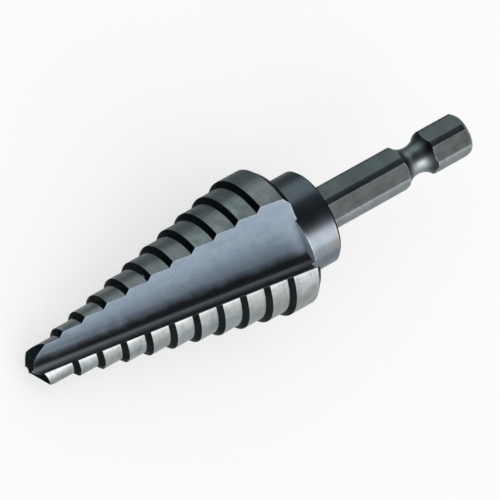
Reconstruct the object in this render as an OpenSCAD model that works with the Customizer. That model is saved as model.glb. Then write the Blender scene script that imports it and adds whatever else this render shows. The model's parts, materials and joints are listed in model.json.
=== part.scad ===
// Step drill for sheet metal: one solid with a stepped body, two straight V flutes
// and a hexagonal quick-change shank. Millimetres. It is modelled on +Z, point down,
// and then laid on the floor (z = 0) as it comes to rest, with +X towards the shank.

/* [Stepped body] */
// Diameter of the first, smallest step
first_d = 6.35; // [4:0.05:12]
// Growth of the diameter from one step to the next
step_grow = 1.5875; // [0.8:0.0005:3]
// Number of diameters
step_count = 11; // [4:1:14]
// Distance from the point to the first shoulder
first_len = 5.55; // [4:0.05:10]
// Distance from one shoulder to the next
step_pitch = 3.6; // [2.5:0.05:8]
// Slope of the shoulders from the axis, in degrees
shoulder_angle = 47; // [30:1:75]
// Full width of the last, largest step
last_land = 3.8; // [2:0.1:12]
// Chamfer behind the largest step
rear_chamfer = 1; // [0.3:0.1:2]
// Slope of the rear face of the largest step, in degrees
rear_slope = 8.5; // [0:0.5:20]
// How far the centre of a land stands off the axis, towards its cutting edge
land_relief = 0.28; // [0:0.01:0.5]
// How much more the shoulders drop back behind their cutting edges
shoulder_relief = 0.35; // [0:0.01:0.45]

/* [Flutes] */
// Angle between the two walls of a flute
flute_v = 58; // [50:1:75]
// Radius in the bottom of a flute
flute_root_r = 1.9; // [1:0.1:3]
// Direction the cutting face looks, turned about the axis
face_turn = 5; // [0:1:15]
// Distance from the axis back to the cutting face, at the point
face_back = 0.7; // [0.4:0.02:1.5]
// Angle of the cutting face to the axis
face_run = 7.1; // [4:0.05:9]
// Distance from the axis to the heel wall on the cutting side, at the point
heel_over = 0.82; // [0.3:0.02:1.2]
// Angle of the heel wall to the axis
heel_run = 8.25; // [5:0.05:10]
// How far a flute runs into the collar, beside the axis
runout_len = 0.15; // [0:0.05:2]
// Slant of the end of a flute
runout_slant = 7.5; // [0:0.5:30]

/* [Point] */
// Included angle of the two lips
point_angle = 146; // [118:1:150]
// Clearance of the flank behind a lip
lip_relief = 19; // [8:1:26]
// Slope of the heel facet
heel_slope = 52.3; // [35:0.1:60]
// Direction the heel facet falls away, behind the lip
heel_turn = 111; // [110:1:150]

/* [Collar] */
// Diameter of the collar behind the largest step
collar_d = 14.8; // [11:0.1:20]
// Length of the collar
collar_len = 5.85; // [3:0.05:12]
// Chamfer at the rear of the collar
collar_chamfer = 0.4; // [0.2:0.1:1.2]

/* [Shank] */
// Width of the hexagon across its flats
hex_af = 6.35; // [5:0.05:12]
// Diameter the corners of the hexagon are turned to
hex_corner_d = 6.85; // [5.5:0.05:13]
// Turn of the hexagon about the axis
hex_turn = 18.3; // [0:0.1:60]
// Length of the shank behind the collar
shank_len = 27.1; // [24:0.1:60]
// Distance from the end of the shank to the middle of the ball groove
groove_back = 9.1; // [8:0.1:16]
// Diameter at the bottom of the ball groove
groove_d = 4.44; // [3:0.01:9]
// Radius of the ball groove
groove_r = 3.4; // [2:0.1:5]
// Length of the chamfer on the end of the shank
end_chamfer = 0.5; // [0.3:0.1:2]
// Diameter of the flat at the end of the shank
end_d = 6; // [3:0.05:10]

/* [Hidden] */
$fn = 96;

// radii and distances from the point; a land is turned with a radius smaller by its relief
first_r = first_d / 2 - land_relief;
grow_r = step_grow / 2;
cone_rate = tan(shoulder_angle);
shoulder = grow_r / cone_rate;
last_r = first_r + (step_count - 1) * grow_r;
last_start = first_len + (step_count - 2) * step_pitch + shoulder;
land_end = last_start + last_land;
rear = land_end + rear_chamfer;
rear_foot = rear + (last_r - rear_chamfer - collar_d / 2) * tan(rear_slope);
collar_end = rear + collar_len;
total = collar_end + shank_len;
big = 4 * last_r;
// how far the pieces of one step reach into the next, hidden inside it
lap = 1;

// walls of the first flute: unit normals, and the direction both walls share
heel_dir = face_turn - flute_v;
face_n = wall_normal(face_turn, face_run);
heel_n = wall_normal(heel_dir, heel_run);
flute_dir = unit(cross(heel_n, face_n));
flute_cross = cross(face_n, flute_dir);
wall_angle = acos(face_n * heel_n);
root_y = (-face_back * cos(heel_dir) - heel_over * cos(face_turn)) / sin(flute_v);
root_x = (-face_back - root_y * sin(face_turn)) / cos(face_turn);

// cutting edge of the first land, and the side of the axis it stands on
edge_turn = 116;
side_turn = 175;

// lines the lands and the shoulders are turned about, for the first land; every turned
// shape starts at seam_turn, where the flute takes its seam away
seam_turn = 70;
land_axis = land_relief * [cos(edge_turn), sin(edge_turn)];
cone_axis = land_axis + shoulder_relief * [cos(edge_turn - 28), sin(edge_turn - 28)];

// slope of the flank behind a lip, and the direction it falls away
lip_rise = tan(90 - point_angle / 2);
lip_fall = tan(lip_relief);
flank_slope = atan(norm([lip_rise, lip_fall]));
flank_turn = edge_turn + atan2(lip_fall, lip_rise);

// the three corners the drill rests on: edge and heel of the largest step, and the first lip
edge_pt = front_corner(last_start, face_turn, -face_back, face_run, 1, 4);
heel_pt = front_corner(last_start, heel_dir, heel_over, heel_run, -1, 4);
lip_guess = corner(first_r, 1, face_turn, -face_back, face_run, land_axis);
lip_pt = corner(first_r, flank_s(lip_guess), face_turn, -face_back, face_run, land_axis);
floor_n = unit(cross(heel_pt - edge_pt, lip_pt - edge_pt));
// the lower flute is the half-turned copy, so the lower contacts are these turned by 180
down = [-floor_n[0], -floor_n[1], floor_n[2]];
lie_z = -down;
lie_x = unit([0, 0, 1] - lie_z[2] * lie_z);
lie_y = cross(lie_z, lie_x);
floor_h = [-edge_pt[0], -edge_pt[1], edge_pt[2]] * lie_z;
centre_x = (total * lie_x[2] + end_d / 2 * lie_z[2]) / 2;

function unit(v) = v / norm(v);

// unit normal of a flute wall that looks along `turn` and leans `run` to the axis
function wall_normal(turn, run) = [cos(turn) * cos(run), sin(turn) * cos(run), sin(run)];

// where a flute wall meets the circle of radius r about the line c, at the distance s
function corner(r, s, turn, off, run, c) =
    let (
        n = [cos(turn), sin(turn)],
        d = off - s * tan(run) - c * n,
        h = sqrt(r * r - d * d)
    )
    [
        c[0] + d * n[0] - h * n[1],
        c[1] + d * n[1] + h * n[0],
        s
    ];

// front corner of the largest step, on the first land (side 1) or the other (side -1)
function front_corner(s, turn, off, run, side, rounds) =
    let (
        p = corner(last_r, s, turn, off, run, side * land_axis),
        from_cone = norm([p[0], p[1]] - side * cone_axis)
    )
    rounds == 0
        ? p
        : front_corner(last_start + (from_cone - last_r) / cone_rate, turn, off, run, side, rounds - 1);

// height of the flank over a point of the first land
function flank_s(p) = tan(flank_slope) * (p[0] * cos(flank_turn) + p[1] * sin(flank_turn));

// radius of step i, and where its shoulder starts
function step_r(i) = first_r + i * grow_r;
function step_s(i) = first_len + (i - 1) * step_pitch;

// outline of the turned land of step i, up to just inside the next one
function land_outline(i) = concat(
    [[0, i > 0 ? step_s(i) - lap : -lap], [step_r(i), i > 0 ? step_s(i) - lap : -lap]],
    i < step_count - 1
        ? [[step_r(i), step_s(i + 1) + lap], [0, step_s(i + 1) + lap]]
        : [
            [last_r, land_end],
            [last_r - rear_chamfer, rear],
            [collar_d / 2, rear_foot],
            [0, rear_foot]
        ]
);

// outline of what stands behind the shoulder of step i
function shoulder_outline(i) = [
    [0, step_s(i) - lap / 2 / cone_rate],
    [step_r(i - 1) - lap / 2, step_s(i) - lap / 2 / cone_rate],
    [step_r(i) + lap, step_s(i) + (grow_r + lap) / cone_rate],
    [step_r(i) + lap, rear + lap],
    [0, rear + lap]
];

// turned land of step i, about the line of the lands
module land(i) {
    translate(land_axis)
        rotate([0, 0, seam_turn])
            rotate_extrude()
                polygon(land_outline(i));
}

// land of step i with its shoulder, turned about the line of the shoulders
module shouldered_land(i) {
    intersection() {
        land(i);
        translate(cone_axis)
            rotate([0, 0, seam_turn])
                rotate_extrude()
                    polygon(shoulder_outline(i));
    }
}

// the half of space the first land stands in, and `over` past the axis
module side_half(over = 0) {
    rotate([0, 0, side_turn])
        translate([-over, -big, -big / 2])
            cube([big, 2 * big, total + big]);
}

// the two stepped lands, each relieved behind its own cutting edge
module relieved_body() {
    for (k = [0, 180])
        rotate([0, 0, k])
            intersection() {
                union() {
                    land(0);
                    for (i = [1 : step_count - 1])
                        shouldered_land(i);
                }
                side_half(lap / 2);
            }
}

// section of a flute: a V with a rounded root, open away from the cutting face
module flute_section() {
    leg = flute_root_r / tan(wall_angle / 2);
    reach = 3 * last_r;
    union() {
        polygon([
            [-leg, 0],
            [-reach, 0],
            [-reach * cos(wall_angle), reach * sin(wall_angle)],
            [-leg * cos(wall_angle), leg * sin(wall_angle)],
            [-leg, flute_root_r]
        ]);
        translate([-leg, flute_root_r])
            circle(r = flute_root_r);
    }
}

// one flute, running along its root from before the point to `far`
module flute(far) {
    multmatrix([
        [flute_cross[0], face_n[0], flute_dir[0], root_x],
        [flute_cross[1], face_n[1], flute_dir[1], root_y],
        [flute_cross[2], face_n[2], flute_dir[2], 0]
    ])
        translate([0, 0, -10])
            linear_extrude(height = far + 10)
                flute_section();
}

// everything in front of a sloping facet of the point, to be taken away
module flank(turn, slope) {
    rotate([0, 0, turn])
        rotate([0, -slope, 0])
            translate([-big, -big, -2 * big])
                cube([2 * big, 2 * big, 2 * big]);
}

module fluted_steps() {
    difference() {
        relieved_body();
        for (k = [0, 180])
            rotate([0, 0, k]) {
                flute(total);
                flank(flank_turn, flank_slope);
                intersection() {
                    flank(edge_turn + heel_turn, heel_slope);
                    side_half();
                }
            }
    }
}

// collar, with the ends of the flutes just entering its front
module collar() {
    difference() {
        rotate_extrude()
            polygon([
                [0, rear - 2 * rear_chamfer],
                [collar_d / 2, rear - 2 * rear_chamfer],
                [collar_d / 2, collar_end - collar_chamfer],
                [collar_d / 2 - collar_chamfer, collar_end],
                [0, collar_end]
            ]);
        for (k = [0, 180])
            rotate([0, 0, k])
                intersection() {
                    flute(total);
                    translate([0, 0, rear + runout_len])
                        rotate([0, runout_slant, 0])
                            translate([-big, -big, -2 * big])
                                cube([2 * big, 2 * big, 2 * big]);
                }
    }
}

// hexagonal shank with turned corners, a chamfered end and the ball groove
module shank() {
    difference() {
        intersection() {
            translate([0, 0, collar_end - 1])
                rotate([0, 0, hex_turn])
                    cylinder(h = shank_len + 1, r = hex_af / 2 / cos(30), $fn = 6);
            rotate_extrude()
                polygon([
                    [0, collar_end - 1],
                    [hex_corner_d / 2, collar_end - 1],
                    [hex_corner_d / 2, total - end_chamfer],
                    [end_d / 2, total],
                    [0, total]
                ]);
        }
        translate([0, 0, total - groove_back])
            rotate_extrude()
                translate([groove_d / 2 + groove_r, 0])
                    circle(r = groove_r);
    }
}

module step_drill() {
    color([0.36, 0.39, 0.42])
        multmatrix([
            [lie_x[0], lie_x[1], lie_x[2], -centre_x],
            [lie_y[0], lie_y[1], lie_y[2], 0],
            [lie_z[0], lie_z[1], lie_z[2], -floor_h]
        ])
            union() {
                fluted_steps();
                collar();
                shank();
            }
}

step_drill();
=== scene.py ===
import json
import math

import bmesh
import bpy
import numpy as np
from mathutils import Matrix, Vector


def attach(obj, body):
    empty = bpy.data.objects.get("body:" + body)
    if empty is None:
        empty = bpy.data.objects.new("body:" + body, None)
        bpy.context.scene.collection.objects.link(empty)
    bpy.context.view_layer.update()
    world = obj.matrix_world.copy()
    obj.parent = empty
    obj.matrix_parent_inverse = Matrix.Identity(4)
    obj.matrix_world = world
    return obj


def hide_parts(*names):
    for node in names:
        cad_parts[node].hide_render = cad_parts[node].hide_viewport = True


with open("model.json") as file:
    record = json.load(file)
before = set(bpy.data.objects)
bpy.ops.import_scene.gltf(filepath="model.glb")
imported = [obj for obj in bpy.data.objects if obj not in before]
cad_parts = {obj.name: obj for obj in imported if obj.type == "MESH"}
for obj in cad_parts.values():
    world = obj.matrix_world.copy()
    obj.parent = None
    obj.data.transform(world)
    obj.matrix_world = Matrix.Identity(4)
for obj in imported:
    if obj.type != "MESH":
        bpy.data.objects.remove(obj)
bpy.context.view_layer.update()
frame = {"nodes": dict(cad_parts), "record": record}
mm = 0.001

# sizes of the drill in mm and degrees: lengths run along its axis, and turns go round it
drill = {
    "firstLength": 5.55,  # from the point to the first shoulder
    "stepPitch": 3.6,
    "steps": 11,
    "stepGrow": 1.5875,  # growth of the diameter
    "shoulderSlope": 47,
    "lastLand": 3.8,
    "rearChamfer": 1.0,
    "collarDiameter": 14.8,
    "collarLength": 5.85,
    "collarChamfer": 0.4,
    "shankLength": 27.1,
    "hexCornerDiameter": 6.85,
    "flatTurn": 108.3,  # the way the first jaw flat looks
    "grooveBack": 9.1,  # from the end of the shank to the middle of the ball groove
    "grooveDiameter": 4.44,
    "grooveRadius": 3.4,
    "landRelief": 0.28,  # how far off the axis a land is turned, and which way
    "edgeTurn": 116,
    "shoulderRelief": 0.35,  # how much further off a shoulder is turned, and which way
    "shoulderTurn": 88,
    "sideTurn": 175,  # the first land stands on this side of the axis
    "faceTurn": 5,  # the way the cutting face looks, its lean to the axis and its distance behind it
    "faceRun": 7.1,
    "faceBack": 0.7,
    "fluteAngle": 58,  # between the cutting face and the heel wall
    "heelRun": 8.25,  # lean of the heel wall to the axis, and its distance past it
    "heelOver": 0.82,
    "rootRadius": 1.9,
}


def partEnds():
    # where the parts of the drill end: each length from the point is the sum of the lengths before it
    shoulder = drill["stepGrow"] / 2 / math.tan(math.radians(drill["shoulderSlope"]))
    lastStart = drill["firstLength"] + (drill["steps"] - 2) * drill["stepPitch"] + shoulder
    rear = lastStart + drill["lastLand"] + drill["rearChamfer"]
    collar = rear + drill["collarLength"]
    shank = collar + drill["shankLength"]
    return {"rear": rear, "collar": collar, "groove": shank - drill["grooveBack"], "shank": shank}


ends = partEnds()


def mountOf(name):
    # the mount of this name in the part's record
    return next(m for m in frame["record"]["mounts"] if m["name"] == name)


def unit(v):
    # each vector divided by its length
    return v / np.linalg.norm(v, axis=-1, keepdims=True)


def polar(length, turn, run=0.0):
    # vector of this length that looks along turn and leans run degrees to the axis
    a, b = math.radians(turn), math.radians(run)
    return length * np.array([math.cos(a) * math.cos(b), math.sin(a) * math.cos(b), math.sin(b)])


def drillAxes():
    # x, y and z of the drill as rows, and its point: z runs along the shank end's axis, x and y are
    # the first jaw flat's direction and the one square to it, turned back by flatTurn
    end = np.array(mountOf("shank_end")["pos_m"])
    axis = unit(np.array(mountOf("shank_end")["axis"]))
    flat = np.array(mountOf("jaw_flat_1")["axis"])
    flat = unit(flat - axis * (flat @ axis))
    side = np.cross(axis, flat)
    turn = math.radians(drill["flatTurn"])
    x = math.cos(turn) * flat - math.sin(turn) * side
    y = math.sin(turn) * flat + math.cos(turn) * side
    return np.array([x, y, axis]), end - axis * ends["shank"] * mm


axes, tip = drillAxes()
print("drill axes found, point at", np.round(tip / mm, 2), "mm")


def fluteWalls():
    # unit vectors square to the first flute's walls: the cutting face looks along the first one, and
    # the heel wall looks against the second
    heelTurn = drill["faceTurn"] - drill["fluteAngle"]
    return polar(1, drill["faceTurn"], drill["faceRun"]), polar(1, heelTurn, drill["heelRun"])


def rootLine(side):
    # centre line of the round in a flute's root, as a point and a direction: from where both walls
    # meet, radius / tan(half the angle between them) along the cutting face and radius off it.
    # Side 1 is the first flute, and -1 the other one, turned by half a turn
    face, heel = fluteWalls()
    way = unit(np.cross(heel, face))
    meet = np.linalg.solve([unit(face[:2]), unit(heel[:2])], [-drill["faceBack"], drill["heelOver"]])
    leg = drill["rootRadius"] / math.tan(math.acos(heel @ face) / 2)
    point = np.array([*meet, 0]) - leg * np.cross(face, way) + drill["rootRadius"] * face
    flip = np.array([side, side, 1])
    return point * flip, way * flip


def newGroup(name, inputs, outputs):
    # shader node group with number sockets: inputs by name with their defaults, outputs by name
    g = bpy.data.node_groups.new(name, "ShaderNodeTree")
    for n, default in inputs.items():
        s = g.interface.new_socket(name=n, in_out="INPUT", socket_type="NodeSocketFloat")
        s.default_value = default
    for n in outputs:
        g.interface.new_socket(name=n, in_out="OUTPUT", socket_type="NodeSocketFloat")
    return g, g.nodes.new("NodeGroupInput").outputs, g.nodes.new("NodeGroupOutput").inputs


def feed(tree, value, target):
    # another node's output is linked to the socket, and a plain value is set on it
    if isinstance(value, bpy.types.NodeSocket):
        tree.links.new(value, target)
    else:
        target.default_value = value


def mathNode(tree, operation, *values, clamp=False):
    # operation on one to three numbers
    n = tree.nodes.new("ShaderNodeMath")
    n.operation = operation
    n.use_clamp = clamp
    for value, target in zip(values, n.inputs):
        feed(tree, value, target)
    return n.outputs[0]


def vectorNode(tree, operation, a, b=(0, 0, 0)):
    # operation on a vector from another node and a fixed one
    n = tree.nodes.new("ShaderNodeVectorMath")
    n.operation = operation
    feed(tree, a, n.inputs[0])
    feed(tree, [float(v) for v in b], n.inputs[1])
    return n.outputs["Value" if operation in ("LENGTH", "DOT_PRODUCT") else "Vector"]


def mapRange(tree, value, low, high, toLow=0.0, toHigh=1.0, smooth=True):
    # low..high becomes toLow..toHigh, clamped, and eased at both ends if smooth
    n = tree.nodes.new("ShaderNodeMapRange")
    n.interpolation_type = "SMOOTHSTEP" if smooth else "LINEAR"
    names = ("Value", "From Min", "From Max", "To Min", "To Max")
    for name, v in zip(names, (value, low, high, toLow, toHigh)):
        feed(tree, v, n.inputs[name])
    return n.outputs["Result"]


def noise(tree, vector, scale, detail=3.0, rough=0.5):
    # noise from 0 to 1 with scale waves for each unit of the vector
    n = tree.nodes.new("ShaderNodeTexNoise")
    for name, v in (("Vector", vector), ("Scale", scale), ("Detail", detail), ("Roughness", rough)):
        feed(tree, v, n.inputs[name])
    return n.outputs["Fac"]


def swing(tree, value, size):
    # noise round 0.5 becomes size * (noise - 0.5)
    return mathNode(tree, "MULTIPLY", mathNode(tree, "SUBTRACT", value, 0.5), size)


def combine(tree, *parts):
    # vector of three numbers
    n = tree.nodes.new("ShaderNodeCombineXYZ")
    for value, target in zip(parts, n.inputs):
        feed(tree, value, target)
    return n.outputs[0]


def split(tree, vector):
    # the three numbers of a vector
    n = tree.nodes.new("ShaderNodeSeparateXYZ")
    tree.links.new(vector, n.inputs[0])
    return n.outputs


def onDrill(tree, normal=False):
    # place on the drill in mm = (Object coordinates - point) turned by its axes; a normal is only turned
    coords = tree.nodes.new("ShaderNodeTexCoord")
    turn = tree.nodes.new("ShaderNodeMapping")
    turn.vector_type = "POINT"
    turn.inputs["Rotation"].default_value = Matrix(axes.tolist()).to_euler("XYZ")
    if not normal:
        turn.inputs["Location"].default_value = (-(axes @ tip) / mm).tolist()
        turn.inputs["Scale"].default_value = (1 / mm, 1 / mm, 1 / mm)
    tree.links.new(coords.outputs["Normal" if normal else "Object"], turn.inputs["Vector"])
    return turn.outputs[0]


grinding = {
    "detail": 4.0,
    "rough": 0.65,
    "turnedPace": 0.4,  # waves for each radian along a turned line
    "lengthwisePace": 0.14,  # waves for each mm along a lengthwise line
}


def grindGroup():
    # marks of the grinding wheel, as noise round 0.5: Turned varies along and off the axis, so that
    # its lines run round it, and Lengthwise varies across the axis. Fine is waves for each mm
    g, given, result = newGroup("grindingLines", {"Fine": 9.0}, ("Turned", "Lengthwise"))
    x, y, z = split(g, onDrill(g))
    squares = [mathNode(g, "MULTIPLY", v, v) for v in (x, y)]
    off = mathNode(g, "SQRT", mathNode(g, "ADD", *squares))
    around = mathNode(g, "MULTIPLY", mathNode(g, "ARCTAN2", y, x), grinding["turnedPace"])
    along = mathNode(g, "MULTIPLY", z, grinding["lengthwisePace"])
    fineZ, fineOff, fineX, fineY = [mathNode(g, "MULTIPLY", v, given["Fine"]) for v in (z, off, x, y)]
    lines = {"Turned": (fineZ, fineOff, around), "Lengthwise": (fineX, fineY, along)}
    for name, parts in lines.items():
        marks = noise(g, combine(g, *parts), 1.0, grinding["detail"], grinding["rough"])
        g.links.new(marks, result[name])
    return g


oxide = {
    "broadDetail": 2.0,
    "speck": {"scale": 3.2, "detail": 4.0, "rough": 0.6},
    "heat": {"scale": 0.17, "detail": 2.0},
    "heatRange": (0.42, 0.62),  # noise over which the heat tint sets in
}


def filmGroup():
    # cloudy black oxide: Film is broad patches of Patch Size mm plus Speckle times a finer noise, and
    # Tint marks wide areas with a warmer heat tint
    inputs = {"Patch Size": 2.5, "Speckle": 0.3}
    g, given, result = newGroup("oxideFilm", inputs, ("Film", "Tint"))
    place = onDrill(g)
    broad = noise(g, place, mathNode(g, "DIVIDE", 1.0, given["Patch Size"]), oxide["broadDetail"])
    specks = swing(g, noise(g, place, **oxide["speck"]), given["Speckle"])
    g.links.new(mathNode(g, "ADD", broad, specks, clamp=True), result["Film"])
    g.links.new(mapRange(g, noise(g, place, **oxide["heat"]), *oxide["heatRange"]), result["Tint"])
    return g


wear = {
    "samples": 6,
    "edgeRange": (0.98, 0.8),  # share of inward rays that stay in the steel, from unworn to worn
    "spot": {"scale": 1.6, "detail": 3.0, "rough": 0.6},
    "spotRange": (0.35, 0.6),
    "least": 0.25,  # wear left between the spots
}


def rubbedGroup():
    # outer edges rubbed bright: the share of inward rays that leave the steel within Width metres,
    # times a spotty noise
    g, given, result = newGroup("rubbedEdges", {"Width": 0.0002}, ("Rubbed",))
    inward = g.nodes.new("ShaderNodeAmbientOcclusion")
    inward.inside = True
    inward.only_local = True
    inward.samples = wear["samples"]
    g.links.new(given["Width"], inward.inputs["Distance"])
    edge = mapRange(g, inward.outputs["AO"], *wear["edgeRange"])
    spots = mapRange(g, noise(g, onDrill(g), **wear["spot"]), *wear["spotRange"], wear["least"])
    g.links.new(mathNode(g, "MULTIPLY", edge, spots), result["Rubbed"])
    return g


rootShadeAndRound = {
    "cloud": {"scale": 0.35, "detail": 3.0, "rough": 0.6},
    "cloudDepth": 1.2,  # mm that the clouds swing the depth by, for an uneven border of the painted shade
    "shiftRange": (26.0, 8.0),  # length from the point over which Shift sets in
    "nearRange": (3.0, 2.2),  # distance from the centre line over which the painted shade and the round set in
    "roundRange": (0.64, 0.36),  # normal . heel normal over which the bare round sets in
}


def rootGroup():
    # the flute's rounded root: distance is the length of (place - point) x direction of its centre
    # line, and depth = radius * arccos(normal . heel normal) - sqrt(distance^2 - radius^2) is mm past
    # the start of the round. Shade is painted shade, a darker colour standing in for the dark reflection
    # and shade near the root: it rises from 0 to 1 between the depths Start and Full, both Shift mm
    # later at the point, and fades out on the cutting face; Root is 1 in the round itself
    inputs = {"Start": -0.8, "Full": 1.3, "Shift": 0.4}
    g, given, result = newGroup("fluteRoot", inputs, ("Root", "Shade"))
    place, normal = onDrill(g), onDrill(g, normal=True)
    radius = drill["rootRadius"]
    _, heel = fluteWalls()
    reach, facing = [], []
    for side in (1, -1):
        point, way = rootLine(side)
        away = vectorNode(g, "SUBTRACT", place, point)
        reach.append(vectorNode(g, "LENGTH", vectorNode(g, "CROSS_PRODUCT", away, way)))
        facing.append(vectorNode(g, "DOT_PRODUCT", normal, -heel * (side, side, 1)))
    distance = mathNode(g, "MINIMUM", *reach)
    facing = mathNode(g, "MAXIMUM", *facing)
    arc = mathNode(g, "MULTIPLY", mathNode(g, "ARCCOSINE", facing), radius)
    beyond = mathNode(g, "SUBTRACT", mathNode(g, "POWER", distance, 2.0), radius**2)
    wall = mathNode(g, "SQRT", mathNode(g, "MAXIMUM", beyond, 0.0))
    shift = mapRange(g, split(g, place)[2], *rootShadeAndRound["shiftRange"])
    shift = mathNode(g, "MULTIPLY", shift, given["Shift"])
    depth = mathNode(g, "SUBTRACT", mathNode(g, "SUBTRACT", arc, wall), shift)
    clouds = swing(g, noise(g, place, **rootShadeAndRound["cloud"]), rootShadeAndRound["cloudDepth"])
    depth = mathNode(g, "ADD", depth, clouds)
    shade = mapRange(g, depth, given["Start"], given["Full"])
    close = mapRange(g, distance, *rootShadeAndRound["nearRange"])
    turned = mapRange(g, facing, *rootShadeAndRound["roundRange"])
    g.links.new(mathNode(g, "MULTIPLY", shade, close), result["Shade"])
    g.links.new(mathNode(g, "MULTIPLY", turned, close), result["Root"])
    return g


# the uneven border of the painted shade on the groove's sides, and how many mm it swings by
grooveShadeBorder = {"noise": {"scale": 0.8}, "swing": 0.8}


def bandGroup():
    # 0 round the middle of a band and 1 at its sides: the distance from Middle along the axis,
    # made uneven, becomes 0 at Inner and 1 at Outer
    inputs = {"Middle": 67.0, "Inner": 1.0, "Outer": 2.0}
    g, given, result = newGroup("bandSides", inputs, ("Sides",))
    place = onDrill(g)
    off = mathNode(g, "ABSOLUTE", mathNode(g, "SUBTRACT", split(g, place)[2], given["Middle"]))
    uneven = swing(g, noise(g, place, **grooveShadeBorder["noise"]), grooveShadeBorder["swing"])
    off = mathNode(g, "ADD", off, uneven)
    g.links.new(mapRange(g, off, given["Inner"], given["Outer"]), result["Sides"])
    return g


grindingLines = grindGroup()
oxideFilm = filmGroup()
rubbedEdges = rubbedGroup()
fluteRoot = rootGroup()
bandSides = bandGroup()
print("surface groups made")


def useGroup(tree, group, **values):
    # the group's outputs in this tree, with its inputs set by name
    n = tree.nodes.new("ShaderNodeGroup")
    n.node_tree = group
    for k, v in values.items():
        n.inputs[k.replace("_", " ")].default_value = v
    return n.outputs


def mixColors(tree, share, a, b):
    # a * (1 - share) + b * share, where a plain colour is three numbers
    n = tree.nodes.new("ShaderNodeMix")
    n.data_type = "RGBA"
    tree.links.new(share, n.inputs["Factor"])
    for color, name in ((a, "A"), (b, "B")):
        feed(tree, (*color, 1) if isinstance(color, tuple) else color, n.inputs[name])
    return n.outputs["Result"]


# every finish starts from this look: widths in mm, colours as red, green and blue
baseLook = {
    "metallic": 1.0,
    "grazing": 1.0,  # how much a low angle brightens the shine
    "lines": "Turned",  # the way the grinding lines run
    "lineFine": 4.0,  # waves for each mm
    "lineTone": 0.4,  # share of the tone that the lines give, the rest is the oxide film
    "grain": (0.3, 0.7),  # from the dark tone to the light one
    "patch": 2.5,  # size of the film's patches
    "speckle": 0.3,
    "rough": 0.33,
    "roughLines": 0.1,  # how much the lines change the roughness
    "bump": 0.25,
    "bumpDepth": 0.01,
    "edge": 0.08,  # radius of the rounded edges
    "edgeSamples": 6,
    "bright": (0.62, 0.65, 0.66),  # tone of rubbed edges, how much of it and how wide
    "rubbed": 0.7,
    "rubbedWidth": 0.35,
}
looks = {
    "fluteSteel": {
        **baseLook,
        "dark": (0.215, 0.28, 0.36),
        "light": (0.28, 0.345, 0.42),
        "shade": (0.008, 0.007, 0.01),  # painted shade round the root: a dark colour standing in for the dark reflection and shade there
        "rootShade": 0.96,
        "rootStart": -0.85,
        "rootFull": 1.15,
        "rootShift": 0.45,
        "root": (0.32, 0.315, 0.325),  # glossier steel in the round itself
        "rootRough": 0.29,
        "patch": 1.3,
        "speckle": 0.5,
        "lines": "Lengthwise",
        "lineFine": 3.2,
        "lineTone": 0.5,
        "metallic": 0.27,
        "rough": 0.4,
        "rubbed": 0.3,
    },
    "runoutSteel": {
        **baseLook,
        "dark": (0.33, 0.40, 0.47),
        "light": (0.41, 0.47, 0.53),
        "lines": "Lengthwise",
        "metallic": 0.1,
        "rough": 0.45,
        "rubbed": 0.0,
    },
    "landSteel": {
        **baseLook,
        "dark": (0.31, 0.345, 0.35),
        "light": (0.56, 0.59, 0.595),
        "tint": (0.49, 0.47, 0.44),
        "tinted": 0.4,
        "patch": 1.8,
        "speckle": 0.7,
        "lineFine": 3.0,
        "lineTone": 0.45,
        "roughLines": 0.18,
        "rubbed": 0.45,
    },
    "shoulderSteel": {
        **baseLook,
        "dark": (0.02, 0.026, 0.028),
        "light": (0.036, 0.042, 0.044),
        "grazing": 0.5,
        "rubbed": 0.0,
    },
    "collarSteel": {
        **baseLook,
        "dark": (0.21, 0.245, 0.28),
        "light": (0.275, 0.31, 0.35),
        "tint": (0.275, 0.265, 0.265),
        "tinted": 0.6,
        "rough": 0.29,
        "rubbed": 0.35,
    },
    "shankSteel": {
        **baseLook,
        "dark": (0.20, 0.225, 0.23),
        "light": (0.30, 0.33, 0.335),
        "lines": "Lengthwise",
        "rough": 0.35,
    },
    # the first jaw flat, darker than the other flats: partly the marked flat's own tone, partly painted
    # shade for the way this flat faces the light
    "flatSteel": {
        **baseLook,
        "dark": (0.10, 0.11, 0.11),
        "light": (0.16, 0.175, 0.18),
        "lines": "Lengthwise",
        "rough": 0.35,
    },
    "grooveSteel": {
        **baseLook,
        "dark": (0.34, 0.38, 0.39),
        "light": (0.42, 0.46, 0.47),
        "sides": (0.03, 0.035, 0.038),  # painted shade on the groove's steep sides, standing in for the dark reflections there
        "sideShade": 0.9,
        "inner": 0.5,
        "outer": 2.3,
        "rough": 0.36,
        "rubbed": 0.0,
    },
    "pointSteel": {
        **baseLook,
        "dark": (0.022, 0.034, 0.038),
        "light": (0.045, 0.057, 0.06),
        "grazing": 0.3,
        "rubbed": 0.05,
    },
}


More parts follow.
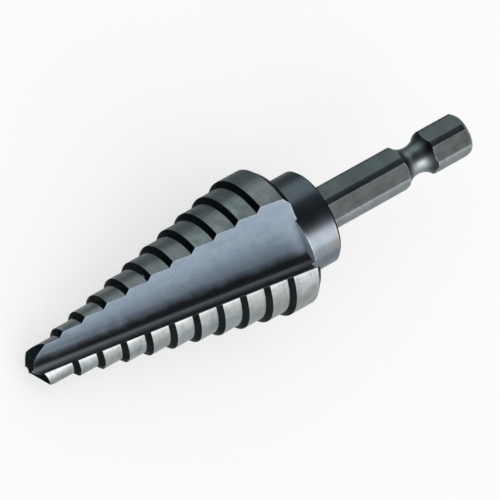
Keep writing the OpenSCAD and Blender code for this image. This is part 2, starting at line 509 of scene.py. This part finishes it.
def steelColor(tree, look, lines, root):
    # grain = film * (1 - lineTone) + lines * lineTone blends the dark tone into the light one; over it
    # come the heat tint, the painted shade and the glossier round of the flute's root, the painted shade
    # on the groove's sides and the rubbed edges
    film = useGroup(tree, oxideFilm, Patch_Size=look["patch"], Speckle=look["speckle"])
    filmPart = mathNode(tree, "MULTIPLY", film["Film"], 1 - look["lineTone"])
    grain = mathNode(tree, "ADD", filmPart, mathNode(tree, "MULTIPLY", lines, look["lineTone"]))
    color = mixColors(tree, mapRange(tree, grain, *look["grain"]), look["dark"], look["light"])
    if "tint" in look:
        tinted = mathNode(tree, "MULTIPLY", film["Tint"], look["tinted"])
        color = mixColors(tree, tinted, color, look["tint"])
    if "root" in look:
        # painted shade: the colour darkens toward the flute's root, standing in for the dark reflection
        # and shade there; the round then takes its own glossier steel
        shaded = mathNode(tree, "MULTIPLY", root["Shade"], look["rootShade"])
        color = mixColors(tree, shaded, color, look["shade"])
        color = mixColors(tree, root["Root"], color, look["root"])
    if "sides" in look:
        # painted shade: the groove's steep sides are darkened toward the sides colour
        band = useGroup(tree, bandSides, Middle=ends["groove"], Inner=look["inner"], Outer=look["outer"])
        scaled = mathNode(tree, "MULTIPLY", band["Sides"], look["sideShade"])
        color = mixColors(tree, scaled, color, look["sides"])
    rubbed = useGroup(tree, rubbedEdges, Width=look["rubbedWidth"] * mm)["Rubbed"]
    return mixColors(tree, mathNode(tree, "MULTIPLY", rubbed, look["rubbed"]), color, look["bright"])


def steelRoughness(tree, look, lines, root):
    # rough + roughLines * (lines - 0.5), less rough - rootRough in the flute's root
    rough = mathNode(tree, "ADD", swing(tree, lines, look["roughLines"]), look["rough"])
    if "root" in look:
        less = mathNode(tree, "MULTIPLY", root["Root"], look["rough"] - look["rootRough"])
        rough = mathNode(tree, "SUBTRACT", rough, less)
    return rough


def steelNormal(tree, look, lines):
    # edges rounded by the edge radius, with the grinding lines bumpDepth mm deep over them
    edge = tree.nodes.new("ShaderNodeBevel")
    edge.samples = look["edgeSamples"]
    edge.inputs["Radius"].default_value = look["edge"] * mm
    bump = tree.nodes.new("ShaderNodeBump")
    bump.inputs["Strength"].default_value = look["bump"]
    bump.inputs["Distance"].default_value = look["bumpDepth"] * mm
    tree.links.new(lines, bump.inputs["Height"])
    tree.links.new(edge.outputs[0], bump.inputs["Normal"])
    return bump.outputs[0]


def steel(name, look):
    # ground and oxidised steel; in the flute's root, metallic rises from the look's own value to 1
    m = bpy.data.materials.new(name)
    m.use_nodes = True
    t = m.node_tree
    t.nodes.clear()
    out = t.nodes.new("ShaderNodeOutputMaterial")
    bsdf = t.nodes.new("ShaderNodeBsdfPrincipled")
    t.links.new(bsdf.outputs[0], out.inputs["Surface"])
    bsdf.inputs["Metallic"].default_value = look["metallic"]
    bsdf.inputs["Specular Tint"].default_value = (look["grazing"],) * 3 + (1,)
    lines = useGroup(t, grindingLines, Fine=look["lineFine"])[look["lines"]]
    root = None
    if "root" in look:
        depths = {"Start": look["rootStart"], "Full": look["rootFull"], "Shift": look["rootShift"]}
        root = useGroup(t, fluteRoot, **depths)
        metallic = mapRange(t, root["Root"], 0.0, 1.0, look["metallic"], 1.0, smooth=False)
        t.links.new(metallic, bsdf.inputs["Metallic"])
    t.links.new(steelColor(t, look, lines, root), bsdf.inputs["Base Color"])
    t.links.new(steelRoughness(t, look, lines, root), bsdf.inputs["Roughness"])
    t.links.new(steelNormal(t, look, lines), bsdf.inputs["Normal"])
    return m


finishes = {name: steel(name, look) for name, look in looks.items()}
print("steel finishes made")

# how a face is known by its place in mm and its lean, the axial part of the direction it looks in
known = {
    "double": 0.0001,  # corners closer than this are one
    "plane": 0.01,  # off a turned radius or a plane
    "round": 0.02,  # off the round of the groove or of a root
    "lean": 0.03,  # off the lean of a land or a shoulder
    "sameWay": 0.995,  # least cosine between a face and the round surface at its middle
    "pointEnd": 5.0,  # the point's facets lie before this length and lean more than this
    "pointLean": -0.55,
    "runoutStart": 40.0,  # the flutes' ends lie behind this length and face the point
    "runoutLean": -0.98,
    "rearReach": 0.6,  # the rear face of the largest step reaches this far behind its edge
    "rearLean": 0.5,
    "collarRearLean": 0.6,  # the collar's rear, with its chamfer up to the second lean
    "collarChamferLean": 0.9,
    "shankChamferLean": (0.3, 0.9),
    "flat": 0.99,  # least cosine between a face and the first jaw flat
}


def turnedNormals(corners, normal, centre):
    # about a line parallel to the axis: radial part sqrt(1 - lean^2), axial part as on the flat face
    lean = normal[:, None, 2:]
    radial = unit(corners[:, :, :2] - centre[:, None, :2])
    outward = radial * np.sqrt(np.maximum(1 - lean**2, 0))
    return np.concatenate([outward, lean + 0 * radial[:, :, :1]], axis=2)


def grooveNormals(corners, rim):
    # from each corner towards the nearest place on the circle that the groove's round is centred on
    ring = drill["grooveDiameter"] / 2 + drill["grooveRadius"]
    radial = (ring - rim)[:, :, None] * corners * (1, 1, 0) / rim[:, :, None]
    inward = radial + (ends["groove"] - corners) * (0, 0, 1)
    onRound = np.abs(np.linalg.norm(inward, axis=2) - drill["grooveRadius"]).max(axis=1) < known["round"]
    return onRound, unit(inward)


def rootNormals(corners, side):
    # from each corner straight to the centre line of the flute's round
    point, way = rootLine(side)
    inward = point - corners
    inward = inward - (inward @ way)[:, :, None] * way
    onRound = np.abs(np.linalg.norm(inward, axis=2) - drill["rootRadius"]).max(axis=1) < known["round"]
    return onRound, unit(inward)


def drillSurfaces(corners, n):
    # each surface in turn: the faces that may lie on it, its finish and, where it is round, the exact
    # normals of their corners. A later surface overrules an earlier one
    middle = corners.mean(axis=1)
    length, lean = middle[:, 2], n[:, 2]
    rim = np.hypot(corners[:, :, 0], corners[:, :, 1])
    side = np.sign(middle[:, :2] @ polar(1, drill["sideTurn"])[:2])[:, None]
    landLine = side * polar(drill["landRelief"], drill["edgeTurn"])
    shoulderLine = landLine + side * polar(drill["shoulderRelief"], drill["shoulderTurn"])
    axisLine = np.zeros((len(n), 3))
    aboutLand = turnedNormals(corners, n, landLine)
    aboutShoulder = turnedNormals(corners, n, shoulderLine)
    aboutAxis = turnedNormals(corners, n, axisLine)

    steps = length < ends["rear"] + known["rearReach"]
    collar = (length > ends["rear"]) & (length < ends["collar"] + known["plane"])
    shank = length > ends["collar"] + known["plane"]
    straight = np.abs(lean) < known["lean"]
    shoulderLean = -math.sin(math.radians(drill["shoulderSlope"]))
    sloped = np.abs(lean - shoulderLean) < known["lean"]
    collarRim = np.abs(rim - drill["collarDiameter"] / 2).max(axis=1) < known["plane"]
    hexRim = np.abs(rim - drill["hexCornerDiameter"] / 2).max(axis=1) < known["plane"]
    rearZone = np.abs(length - ends["collar"]) < drill["collarChamfer"] + known["plane"]
    collarRear = rearZone & (lean > known["collarRearLean"])
    chamferLow, chamferHigh = known["shankChamferLean"]
    shankChamfer = (lean > chamferLow) & (lean < chamferHigh)
    firstFlat = n @ polar(1, drill["flatTurn"]) > known["flat"]

    yield (length < known["pointEnd"]) & (lean < known["pointLean"]) & ~sloped, "pointSteel", None
    runout = (length > known["runoutStart"]) & (length < ends["collar"]) & (lean < known["runoutLean"])
    yield runout, "runoutSteel", None
    yield steps & straight, "landSteel", aboutLand
    yield steps & sloped, "shoulderSteel", aboutShoulder
    yield steps & (lean > known["rearLean"]), "shoulderSteel", aboutLand
    yield collar & collarRim & straight, "collarSteel", aboutAxis
    yield collarRear, "shoulderSteel", None
    yield collarRear & (lean < known["collarChamferLean"]), "shoulderSteel", aboutAxis
    yield shank, "shankSteel", None
    yield shank & firstFlat, "flatSteel", None
    yield shank & ((hexRim & straight) | shankChamfer), "shankSteel", aboutAxis
    inGroove, grooveExact = grooveNormals(corners, rim)
    yield shank & inGroove, "grooveSteel", grooveExact
    for flute in (1, -1):
        inRoot, rootExact = rootNormals(corners, flute)
        yield steps & inRoot, "fluteSteel", rootExact


def dressFaces(mesh):
    # finish and corner normals of each face: a round surface takes only the faces whose own direction
    # is within a few degrees of its own at their middle, and what no surface takes is flute
    count = len(mesh.polygons)
    place, flat = np.empty(len(mesh.vertices) * 3), np.empty(count * 3)
    ids = np.empty(count * 3, dtype=np.int32)
    mesh.vertices.foreach_get("co", place)
    mesh.polygons.foreach_get("normal", flat)
    mesh.loops.foreach_get("vertex_index", ids)
    corners = ((place.reshape(-1, 3) - tip) @ axes.T / mm)[ids].reshape(count, 3, 3)
    n = flat.reshape(-1, 3) @ axes.T
    names = list(looks)
    finish = np.full(count, names.index("fluteSteel"), dtype=np.int32)
    normals = np.repeat(n[:, None, :], 3, axis=1)
    for chosen, look, exact in drillSurfaces(corners, n):
        if exact is not None:
            sameWay = (unit(exact.mean(axis=1)) * n).sum(axis=1)
            chosen = chosen & (sameWay > known["sameWay"])
            normals[chosen] = exact[chosen]
        finish[chosen] = names.index(look)
    mesh.polygons.foreach_set("material_index", finish)
    return (normals.reshape(-1, 3) @ axes).astype(float)


def stepDrill(source):
    # the CAD surface with its doubles merged, its finishes and the exact normals of its round surfaces
    mesh = source.data.copy()
    mesh.name = "stepDrill"
    bm = bmesh.new()
    bm.from_mesh(mesh)
    bmesh.ops.remove_doubles(bm, verts=bm.verts, dist=known["double"] * mm)
    bm.to_mesh(mesh)
    bm.free()
    mesh.materials.clear()
    for m in finishes.values():
        mesh.materials.append(m)
    mesh.polygons.foreach_set("use_smooth", np.ones(len(mesh.polygons), bool))
    mesh.normals_split_custom_set(dressFaces(mesh))
    piece = bpy.data.objects.new("stepDrill", mesh)
    bpy.context.scene.collection.objects.link(piece)
    return piece


body = stepDrill(frame["nodes"]["step_drill"])
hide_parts("step_drill")
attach(body, "root")
print("drill dressed:", len(body.data.polygons), "faces")

# the photograph's view, from a point on the axis: it looks down on the lying drill from 0.6 m away
view = {
    "aim": (0.0015067, 0.0, 0.0094653),
    "right": (0.7422, -0.4759, 0.4718),
    "up": (0.4188, 0.8790, 0.2278),
    "distance": 0.6,
    "lens": 299.42,
    "sensor": 36,
    "shift": (-0.0201, -0.0104),
}


def addCamera():
    # stands at aim + back * distance, where back = right x up
    right, up = Vector(view["right"]).normalized(), Vector(view["up"]).normalized()
    back = right.cross(up).normalized()
    turn = Matrix((right, back.cross(right), back)).transposed().to_4x4()
    data = bpy.data.cameras.new("camera")
    data.lens = view["lens"]
    data.sensor_width = view["sensor"]
    data.shift_x, data.shift_y = view["shift"]
    cam = bpy.data.objects.new("camera", data)
    cam.matrix_world = Matrix.Translation(Vector(view["aim"]) + back * view["distance"]) @ turn
    bpy.context.scene.collection.objects.link(cam)
    bpy.context.scene.camera = cam


addCamera()
print("camera placed")

studio = {
    "floorSize": (4.0, 4.0),
    "floorColor": (0.92, 0.92, 0.92),
    "floorRough": 0.9,
    "floorWhite": 0.6,  # share of plain white in what the camera sees of the floor
    "worldLevel": 0.85,
}


def plane(name, centre, size, facing, material):
    # four corners = centre + half the size along the two axes square to where it faces
    turn = np.array(Vector(facing).to_track_quat("Z", "Y").to_matrix())
    place = np.array([(-1, -1), (1, -1), (1, 1), (-1, 1)], dtype=float)
    flat = np.column_stack([place * np.array(size) / 2, np.zeros(4)])
    mesh = bpy.data.meshes.new(name)
    mesh.from_pydata((np.array(centre) + flat @ turn.T).tolist(), [], [(0, 1, 2, 3)])
    mesh.uv_layers.new(name="place").data.foreach_set("uv", place.astype(np.float32).ravel())
    mesh.materials.append(material)
    o = bpy.data.objects.new(name, mesh)
    bpy.context.scene.collection.objects.link(o)
    return o


def floorMaterial():
    # pale and matt, mixed with plain white where the camera sees it
    m = bpy.data.materials.new("paleFloor")
    m.use_nodes = True
    t = m.node_tree
    b = t.nodes["Principled BSDF"]
    b.inputs["Base Color"].default_value = (*studio["floorColor"], 1)
    b.inputs["Roughness"].default_value = studio["floorRough"]
    b.inputs["Specular IOR Level"].default_value = 0.0
    white = t.nodes.new("ShaderNodeEmission")
    white.inputs["Color"].default_value = (1, 1, 1, 1)
    mix = t.nodes.new("ShaderNodeMixShader")
    camera = t.nodes.new("ShaderNodeLightPath").outputs["Is Camera Ray"]
    t.links.new(mathNode(t, "MULTIPLY", camera, studio["floorWhite"]), mix.inputs[0])
    t.links.new(b.outputs[0], mix.inputs[1])
    t.links.new(white.outputs[0], mix.inputs[2])
    t.links.new(mix.outputs[0], t.nodes["Material Output"].inputs["Surface"])
    return m


plane("floor", (0, 0, 0), studio["floorSize"], (0, 0, 1), floorMaterial())


def flagMaterial(name, tone, soft):
    # even tone that fades out at its four sides: cover = eased (1 - |u|) / soft times the same with v
    m = bpy.data.materials.new(name)
    m.use_nodes = True
    t = m.node_tree
    t.nodes.clear()
    out = t.nodes.new("ShaderNodeOutputMaterial")
    lit = t.nodes.new("ShaderNodeEmission")
    lit.inputs["Color"].default_value = (*tone, 1)
    clear = t.nodes.new("ShaderNodeBsdfTransparent")
    mix = t.nodes.new("ShaderNodeMixShader")
    uv = t.nodes.new("ShaderNodeUVMap")
    uv.uv_map = "place"
    u, v, _ = split(t, uv.outputs[0])
    sides = [mapRange(t, mathNode(t, "ABSOLUTE", c), 1.0, 1.0 - s) for c, s in zip((u, v), soft)]
    t.links.new(mathNode(t, "MULTIPLY", *sides), mix.inputs[0])
    t.links.new(clear.outputs[0], mix.inputs[1])
    t.links.new(lit.outputs[0], mix.inputs[2])
    t.links.new(mix.outputs[0], out.inputs["Surface"])
    return m


# soft-edged flags that only reflections see, so that the steel has dark sides as in a studio
flags = {
    "overheadFlag": {
        "centre": (0.0, 0.11, 0.45),
        "size": (1.3, 1.06),
        "facing": (0, 0, -1),
        "tone": (0.008, 0.016, 0.02),
        "soft": (0.4, 0.47),
    },
    "farFlag": {
        "centre": (0.05, 0.55, 0.2),
        "size": (1.6, 0.62),
        "facing": (0, -1, 0),
        "tone": (0.36, 0.42, 0.44),
        "soft": (0.3, 0.3),
    },
    # the floor flags are sheets laid on the floor that only reflections see: painted shade of the floor
    # as the steel reflects it
    "farFloorFlag": {
        "centre": (0.05, 0.32, 0.0003),
        "size": (1.2, 0.62),
        "facing": (0, 0, 1),
        "tone": (0.27, 0.31, 0.32),
        "soft": (0.3, 0.1),
    },
    "nearFloorFlag": {
        "centre": (0.02, 0.06, 0.0006),
        "size": (0.4, 0.14),
        "facing": (0, 0, 1),
        "tone": (0.09, 0.115, 0.12),
        "soft": (0.3, 0.5),
    },
    "frontFloorFlag": {
        "centre": (0.0, -0.05, 0.0003),
        "size": (0.4, 0.12),
        "facing": (0, 0, 1),
        "tone": (0.5, 0.54, 0.54),
        "soft": (0.3, 0.4),
    },
    "tipFlag": {
        "centre": (-0.36, 0.08, 0.16),
        "size": (0.6, 0.7),
        "facing": (1, 0, 0),
        "tone": (0.02, 0.02, 0.02),
        "soft": (0.3, 0.3),
    },
    "tipFloorFlag": {
        "centre": (-0.2, 0.08, 0.0009),
        "size": (0.36, 0.5),
        "facing": (0, 0, 1),
        "tone": (0.02, 0.02, 0.02),
        "soft": (0.3, 0.4),
    },
    "rearFlag": {
        "centre": (0.42, 0.0, 0.2),
        "size": (0.5, 0.8),
        "facing": (-1, 0, 0),
        "tone": (0.26, 0.29, 0.3),
        "soft": (0.4, 0.4),
    },
}


def addFlag(name, flag):
    # seen by glossy rays alone
    material = flagMaterial(name, flag["tone"], flag["soft"])
    o = plane(name, flag["centre"], flag["size"], flag["facing"], material)
    o.visible_camera = False
    o.visible_diffuse = False
    o.visible_shadow = False
    o.visible_transmission = False


for name, flag in flags.items():
    addFlag(name, flag)

# square soft lamps that look at the drill
lamps = {
    "key": {"toward": (0.15, -1.0, 0.9), "distance": 0.8, "size": 0.6, "radiance": 1.3},
    "fill": {"toward": (-0.3, 0.7, 1.0), "distance": 0.8, "size": 0.5, "radiance": 0.4},
}


def addLamp(name, lamp):
    # power = radiance * pi * size^2
    data = bpy.data.lights.new(name, "AREA")
    data.shape = "SQUARE"
    data.size = lamp["size"]
    data.energy = lamp["radiance"] * math.pi * lamp["size"] ** 2
    o = bpy.data.objects.new(name, data)
    toward = Vector(lamp["toward"]).normalized()
    o.location = toward * lamp["distance"]
    o.rotation_mode = "QUATERNION"
    o.rotation_quaternion = toward.to_track_quat("Z", "Y")
    bpy.context.scene.collection.objects.link(o)


for name, lamp in lamps.items():
    addLamp(name, lamp)


def lightWorld():
    # white where the camera, glossy and glass rays see it, worldLevel for the rest
    w = bpy.data.worlds.new("studioWorld")
    bpy.context.scene.world = w
    w.use_nodes = True
    t = w.node_tree
    t.nodes.clear()
    out = t.nodes.new("ShaderNodeOutputWorld")
    sky = t.nodes.new("ShaderNodeBackground")
    sky.inputs["Color"].default_value = (1, 1, 1, 1)
    path = t.nodes.new("ShaderNodeLightPath").outputs
    seen = mathNode(t, "MAXIMUM", path["Is Camera Ray"], path["Is Glossy Ray"])
    seen = mathNode(t, "MAXIMUM", seen, path["Is Transmission Ray"])
    level = mapRange(t, seen, 0.0, 1.0, studio["worldLevel"], 1.0, smooth=False)
    t.links.new(level, sky.inputs["Strength"])
    t.links.new(sky.outputs[0], out.inputs["Surface"])


lightWorld()
bpy.context.scene.view_settings.view_transform = "Standard"
print("studio lit")
